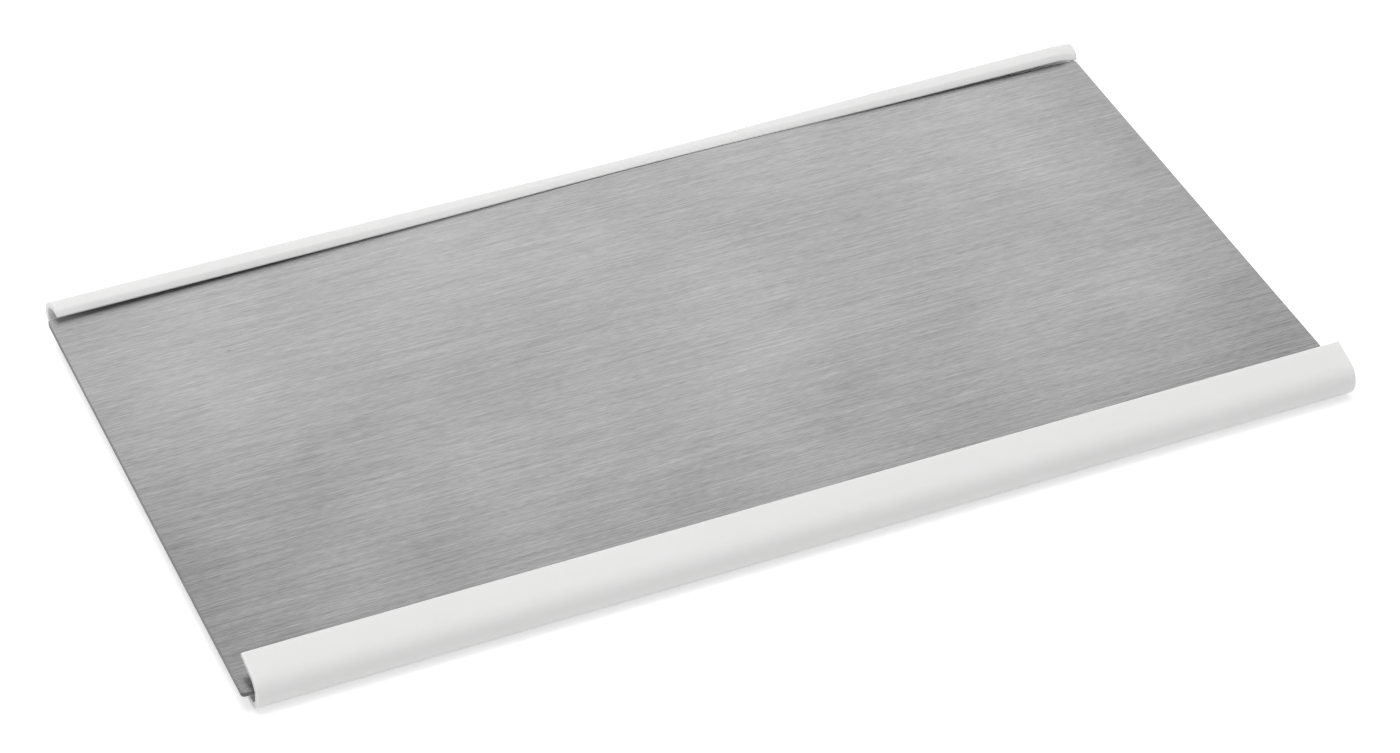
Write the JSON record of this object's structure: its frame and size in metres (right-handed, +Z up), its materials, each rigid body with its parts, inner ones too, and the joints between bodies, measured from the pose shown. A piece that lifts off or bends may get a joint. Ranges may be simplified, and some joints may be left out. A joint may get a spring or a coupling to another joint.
{
  "type": "card scraper",
  "caption": "Thin flat rectangular steel card scraper for smoothing wood, with a push-on white plastic channel guard over each long edge.",
  "frame": {"origin": "middle of the footprint, on the surface that the guards' round noses stand on", "axes": "+X along the card's length and its guards, +Y across the card from the front guard to the rear guard, +Z up from the card's upper face"},
  "size_m": [0.1256, 0.0662, 0.005],
  "materials": {
    "steel": "brushed along its length",
    "guard_plastic": "satin extruded"
  },
  "bodies": {
    "card": {"blade": "steel"},
    "front_guard": {"front_guard": "guard_plastic"},
    "rear_guard": {"rear_guard": "guard_plastic"}
  },
  "joints": [
    {"name": "front_guard_slide", "type": "slide", "parent": "card", "child": "front_guard", "axis": [1, 0, 0], "range_m": [-0.12565, 0.12375]},
    {"name": "rear_guard_slide", "type": "slide", "parent": "card", "child": "rear_guard", "axis": [1, 0, 0], "range_m": [-0.1256, 0.1244]}
  ]
}
